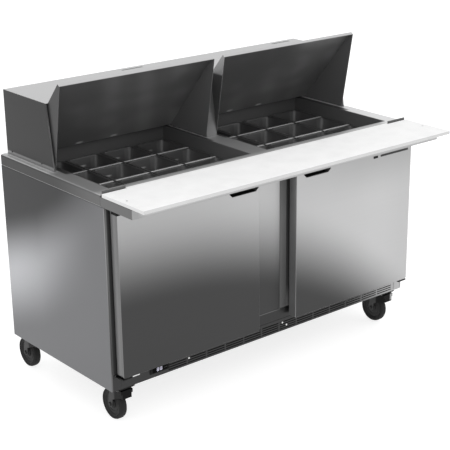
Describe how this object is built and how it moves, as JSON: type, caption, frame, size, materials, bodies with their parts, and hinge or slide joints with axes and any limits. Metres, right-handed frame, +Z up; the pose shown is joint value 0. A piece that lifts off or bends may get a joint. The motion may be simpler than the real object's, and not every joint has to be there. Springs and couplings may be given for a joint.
{
  "type": "sandwich prep table",
  "caption": "Stainless refrigerated sandwich prep table: open food wells under a hood with raised lids, white cutting board, two doors, louvred kick panel and swivel casters.",
  "frame": {"origin": "on the floor under the centre of the whole table's bounding box", "axes": "+X to the right along the width as seen from the front, +Y toward the rear, +Z up"},
  "size_m": [1.524, 0.9916, 1.245],
  "materials": {
    "stainless": "brushed",
    "dark_stainless": "satin",
    "liner": "satin",
    "galvanised": "satin",
    "black_plastic": "matte",
    "black_paint": "gloss",
    "coil": "satin",
    "white_plastic": "satin",
    "coated_wire": "satin",
    "pan_steel": "satin",
    "cutting_board": "satin",
    "gasket": "matte",
    "zinc": "satin",
    "wheel_rubber": "matte"
  },
  "bodies": {
    "cabinet": {"side_panel_left": "stainless", "side_panel_right": "stainless", "rear_panel": "galvanised", "cabinet_body": "liner", "base_chassis": "galvanised", "centre_mullion": "stainless", "front_grille": "dark_stainless", "controller": "black_plastic", "compressor": "black_paint", "condenser": "coil", "evaporator": "white_plastic", "cord_gland": "black_plastic", "wire_shelf_left": "coated_wire", "wire_shelf_right": "coated_wire", "worktop": "stainless", "well_tub_left": "dark_stainless", "pan_divider_left": "stainless", "pan_left_r1c1": "pan_steel", "pan_left_r1c2": "pan_steel", "pan_left_r1c3": "pan_steel", "pan_left_r1c4": "pan_steel", "pan_left_r2c1": "pan_steel", "pan_left_r2c2": "pan_steel", "pan_left_r2c3": "pan_steel", "pan_left_r2c4": "pan_steel", "pan_left_r3c1": "pan_steel", "pan_left_r3c2": "pan_steel", "pan_left_r3c3": "pan_steel", "pan_left_r3c4": "pan_steel", "well_tub_right": "dark_stainless", "pan_divider_right": "stainless", "pan_right_r1c1": "pan_steel", "pan_right_r1c2": "pan_steel", "pan_right_r1c3": "pan_steel", "pan_right_r1c4": "pan_steel", "pan_right_r2c1": "pan_steel", "pan_right_r2c2": "pan_steel", "pan_right_r2c3": "pan_steel", "pan_right_r2c4": "pan_steel", "pan_right_r3c1": "pan_steel", "pan_right_r3c2": "pan_steel", "pan_right_r3c3": "pan_steel", "pan_right_r3c4": "pan_steel", "board_rail": "stainless", "hood": "stainless"},
    "cutting_board": {"cutting_board": "cutting_board"},
    "lid_left": {"lid_left": "stainless"},
    "lid_right": {"lid_right": "stainless"},
    "door_left": {"door_left": "stainless", "door_gasket_left": "gasket"},
    "door_right": {"door_right": "stainless", "door_gasket_right": "gasket"},
    "caster_front_left": {"caster_fork_front_left": "zinc"},
    "wheel_front_left": {"caster_wheel_front_left": "wheel_rubber"},
    "caster_front_right": {"caster_fork_front_right": "zinc"},
    "wheel_front_right": {"caster_wheel_front_right": "wheel_rubber"},
    "caster_rear_left": {"caster_fork_rear_left": "zinc"},
    "wheel_rear_left": {"caster_wheel_rear_left": "wheel_rubber"},
    "caster_rear_right": {"caster_fork_rear_right": "zinc"},
    "wheel_rear_right": {"caster_wheel_rear_right": "wheel_rubber"}
  },
  "joints": [
    {"name": "board_lift", "type": "slide", "parent": "cabinet", "child": "cutting_board", "axis": [0, 0, 1], "range_m": [0, 0.15]},
    {"name": "lid_left_hinge", "type": "hinge", "parent": "cabinet", "child": "lid_left", "pos_m": [-0.374, 0.09517, 0.915], "axis": [1, 0, 0], "range_deg": [0, 79.4]},
    {"name": "lid_right_hinge", "type": "hinge", "parent": "cabinet", "child": "lid_right", "pos_m": [0.374, 0.09517, 0.915], "axis": [1, 0, 0], "range_deg": [0, 79.4]},
    {"name": "door_left_hinge", "type": "hinge", "parent": "cabinet", "child": "door_left", "pos_m": [-0.73, -0.29583, 0.544], "axis": [0, 0, -1], "range_deg": [0, 105]},
    {"name": "door_right_hinge", "type": "hinge", "parent": "cabinet", "child": "door_right", "pos_m": [0.73, -0.29583, 0.544], "axis": [0, 0, 1], "range_deg": [0, 105]},
    {"name": "swivel_front_left", "type": "hinge", "parent": "cabinet", "child": "caster_front_left", "pos_m": [-0.694, -0.21583, 0.14], "axis": [0, 0, 1], "continuous": true},
    {"name": "roll_front_left", "type": "hinge", "parent": "caster_front_left", "child": "wheel_front_left", "pos_m": [-0.694, -0.16913, 0.06296], "axis": [1, 0, 0], "continuous": true},
    {"name": "swivel_front_right", "type": "hinge", "parent": "cabinet", "child": "caster_front_right", "pos_m": [0.694, -0.21583, 0.14], "axis": [0, 0, 1], "continuous": true},
    {"name": "roll_front_right", "type": "hinge", "parent": "caster_front_right", "child": "wheel_front_right", "pos_m": [0.694, -0.16913, 0.06296], "axis": [1, 0, 0], "continuous": true},
    {"name": "swivel_rear_left", "type": "hinge", "parent": "cabinet", "child": "caster_rear_left", "pos_m": [-0.694, 0.38617, 0.14], "axis": [0, 0, 1], "continuous": true},
    {"name": "roll_rear_left", "type": "hinge", "parent": "caster_rear_left", "child": "wheel_rear_left", "pos_m": [-0.694, 0.43287, 0.06296], "axis": [1, 0, 0], "continuous": true},
    {"name": "swivel_rear_right", "type": "hinge", "parent": "cabinet", "child": "caster_rear_right", "pos_m": [0.694, 0.38617, 0.14], "axis": [0, 0, 1], "continuous": true},
    {"name": "roll_rear_right", "type": "hinge", "parent": "caster_rear_right", "child": "wheel_rear_right", "pos_m": [0.694, 0.43287, 0.06296], "axis": [1, 0, 0], "continuous": true}
  ]
}
